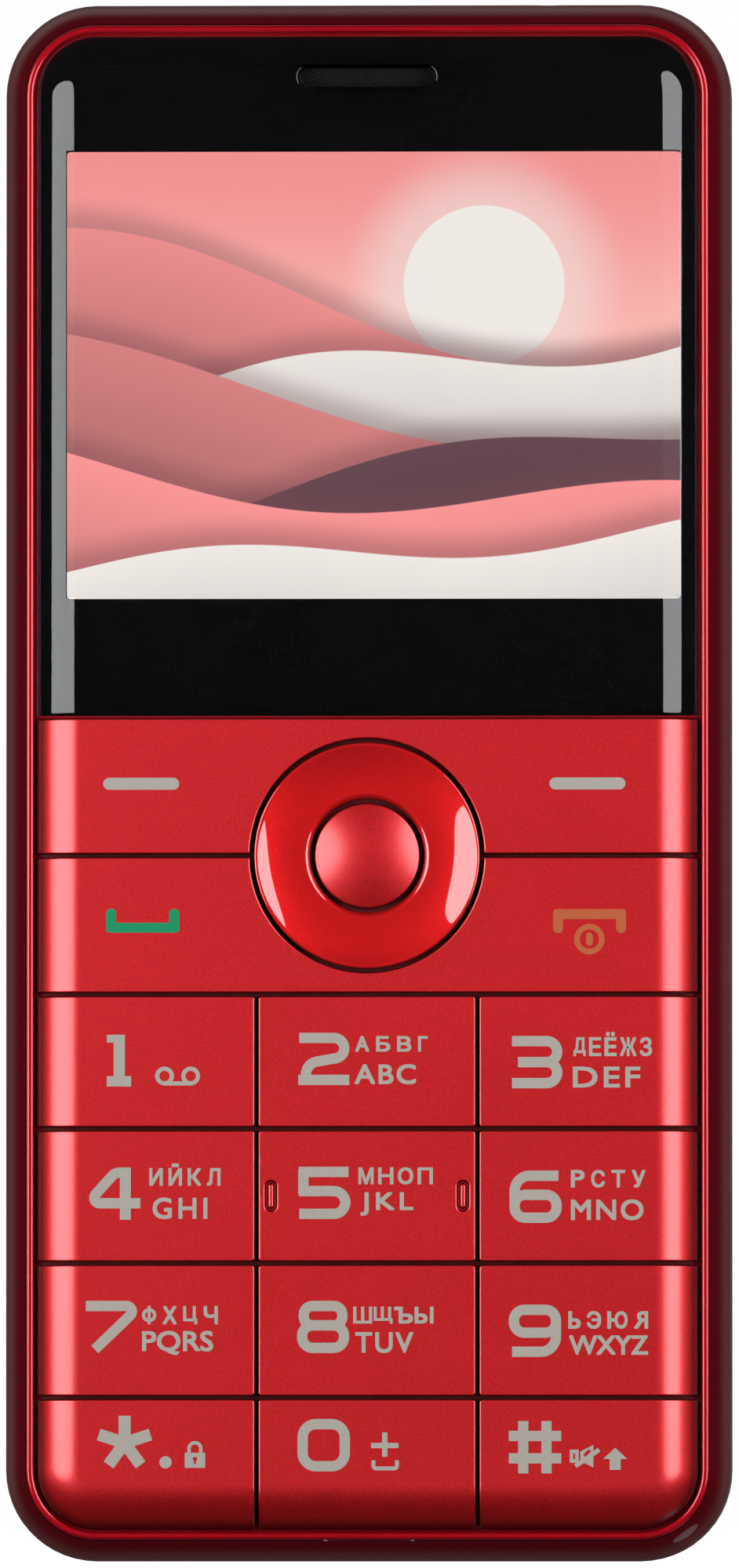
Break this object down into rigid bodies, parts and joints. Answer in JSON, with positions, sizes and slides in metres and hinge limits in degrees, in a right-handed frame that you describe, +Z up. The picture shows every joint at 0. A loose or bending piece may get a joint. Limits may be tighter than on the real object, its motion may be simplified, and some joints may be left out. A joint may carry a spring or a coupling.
{
  "type": "feature phone",
  "caption": "Red bar feature phone with a pillow-shaped front, a full-face keypad, a navigation ring and a removable back cover.",
  "frame": {"origin": "centre of the bottom end", "axes": "+Z up the length of the phone, front faces -Y, +X to the right seen from the front"},
  "size_m": [0.0556, 0.012, 0.1194],
  "materials": {
    "gloss_shell": "clear-coated dark red",
    "satin_red": "satin metallic red paint",
    "gloss_ring": "clear-coated red",
    "clear_lens": "clear, polished",
    "black_print": "printed black",
    "inner_plastic": "fine moulded grain",
    "silicone": "matt",
    "display": "lit picture",
    "white_plastic": "smooth",
    "board": "solder mask",
    "tin": "tinned sheet",
    "steel": "plain",
    "mesh": "woven",
    "gold": "gold flash",
    "battery_wrap": "plain wrap"
  },
  "bodies": {
    "chassis": {"side_frame": "gloss_shell", "front_housing": "satin_red", "display_lens": "clear_lens", "lens_mask": "black_print", "lens_tape": "black_print", "rear_housing": "inner_plastic", "earpiece_receiver": "inner_plastic", "loudspeaker": "inner_plastic", "audio_jack": "inner_plastic", "camera_module": "inner_plastic", "keypad_mat": "silicone", "lcd_panel": "display", "lcd_frame": "white_plastic", "main_board": "board", "lcd_flex": "board", "shield_can": "tin", "sim_holder_left": "tin", "sim_holder_right": "tin", "card_holder": "tin", "usb_socket": "tin", "vibration_motor": "tin", "metal_domes": "tin", "housing_screws": "steel", "earpiece_mesh": "mesh", "battery_contacts": "gold", "antenna": "gold", "microphone": "gold", "battery": "battery_wrap"},
    "cover": {"battery_cover": "gloss_shell", "camera_window": "clear_lens", "speaker_mesh": "mesh"},
    "key_1": {"key_1": "satin_red"},
    "key_2": {"key_2": "satin_red"},
    "key_3": {"key_3": "satin_red"},
    "key_4": {"key_4": "satin_red"},
    "key_5": {"key_5": "satin_red"},
    "key_6": {"key_6": "satin_red"},
    "key_7": {"key_7": "satin_red"},
    "key_8": {"key_8": "satin_red"},
    "key_9": {"key_9": "satin_red"},
    "key_star": {"key_star": "satin_red"},
    "key_0": {"key_0": "satin_red"},
    "key_hash": {"key_hash": "satin_red"},
    "soft_key_bar": {"soft_key_bar": "satin_red"},
    "call_key_bar": {"call_key_bar": "satin_red"},
    "nav_rubber": {"nav_rubber": "silicone"},
    "nav_ring": {"nav_ring": "gloss_ring"},
    "ok_button": {"ok_button": "satin_red"}
  },
  "joints": [
    {"name": "key_1_press", "type": "slide", "parent": "chassis", "child": "key_1", "axis": [0, 1, 0], "range_m": [0, 0.0003], "stiffness_N_per_m": 400},
    {"name": "key_2_press", "type": "slide", "parent": "chassis", "child": "key_2", "axis": [0, 1, 0], "range_m": [0, 0.0003], "stiffness_N_per_m": 400},
    {"name": "key_3_press", "type": "slide", "parent": "chassis", "child": "key_3", "axis": [0, 1, 0], "range_m": [0, 0.0003], "stiffness_N_per_m": 400},
    {"name": "key_4_press", "type": "slide", "parent": "chassis", "child": "key_4", "axis": [0, 1, 0], "range_m": [0, 0.0003], "stiffness_N_per_m": 400},
    {"name": "key_5_press", "type": "slide", "parent": "chassis", "child": "key_5", "axis": [0, 1, 0], "range_m": [0, 0.0003], "stiffness_N_per_m": 400},
    {"name": "key_6_press", "type": "slide", "parent": "chassis", "child": "key_6", "axis": [0, 1, 0], "range_m": [0, 0.0003], "stiffness_N_per_m": 400},
    {"name": "key_7_press", "type": "slide", "parent": "chassis", "child": "key_7", "axis": [0, 1, 0], "range_m": [0, 0.0003], "stiffness_N_per_m": 400},
    {"name": "key_8_press", "type": "slide", "parent": "chassis", "child": "key_8", "axis": [0, 1, 0], "range_m": [0, 0.0003], "stiffness_N_per_m": 400},
    {"name": "key_9_press", "type": "slide", "parent": "chassis", "child": "key_9", "axis": [0, 1, 0], "range_m": [0, 0.0003], "stiffness_N_per_m": 400},
    {"name": "key_star_press", "type": "slide", "parent": "chassis", "child": "key_star", "axis": [0, 1, 0], "range_m": [0, 0.0003], "stiffness_N_per_m": 400},
    {"name": "key_0_press", "type": "slide", "parent": "chassis", "child": "key_0", "axis": [0, 1, 0], "range_m": [0, 0.0003], "stiffness_N_per_m": 400},
    {"name": "key_hash_press", "type": "slide", "parent": "chassis", "child": "key_hash", "axis": [0, 1, 0], "range_m": [0, 0.0003], "stiffness_N_per_m": 400},
    {"name": "ok_button_press", "type": "slide", "parent": "chassis", "child": "ok_button", "axis": [0, 1, 0], "range_m": [0, 0.0003], "stiffness_N_per_m": 400},
    {"name": "soft_key_bar_rock", "type": "hinge", "parent": "chassis", "child": "soft_key_bar", "pos_m": [0, -0.004, 0.05933], "axis": [0, 0, 1], "range_deg": [-0.7, 0.7], "stiffness_Nm_per_rad": 0.2},
    {"name": "call_key_bar_rock", "type": "hinge", "parent": "chassis", "child": "call_key_bar", "pos_m": [0, -0.004, 0.0487], "axis": [0, 0, 1], "range_deg": [-0.7, 0.7], "stiffness_Nm_per_rad": 0.2},
    {"name": "nav_up_down", "type": "hinge", "parent": "chassis", "child": "nav_rubber", "pos_m": [0, -0.00415, 0.05402], "axis": [1, 0, 0], "range_deg": [-1.4, 1.4], "stiffness_Nm_per_rad": 0.1},
    {"name": "nav_left_right", "type": "hinge", "parent": "nav_rubber", "child": "nav_ring", "pos_m": [0, -0.0044, 0.05402], "axis": [0, 0, 1], "range_deg": [-1.4, 1.4], "stiffness_Nm_per_rad": 0.1},
    {"name": "cover_lift", "type": "slide", "parent": "chassis", "child": "cover", "axis": [0, 1, 0], "range_m": [0, 0.02]}
  ]
}
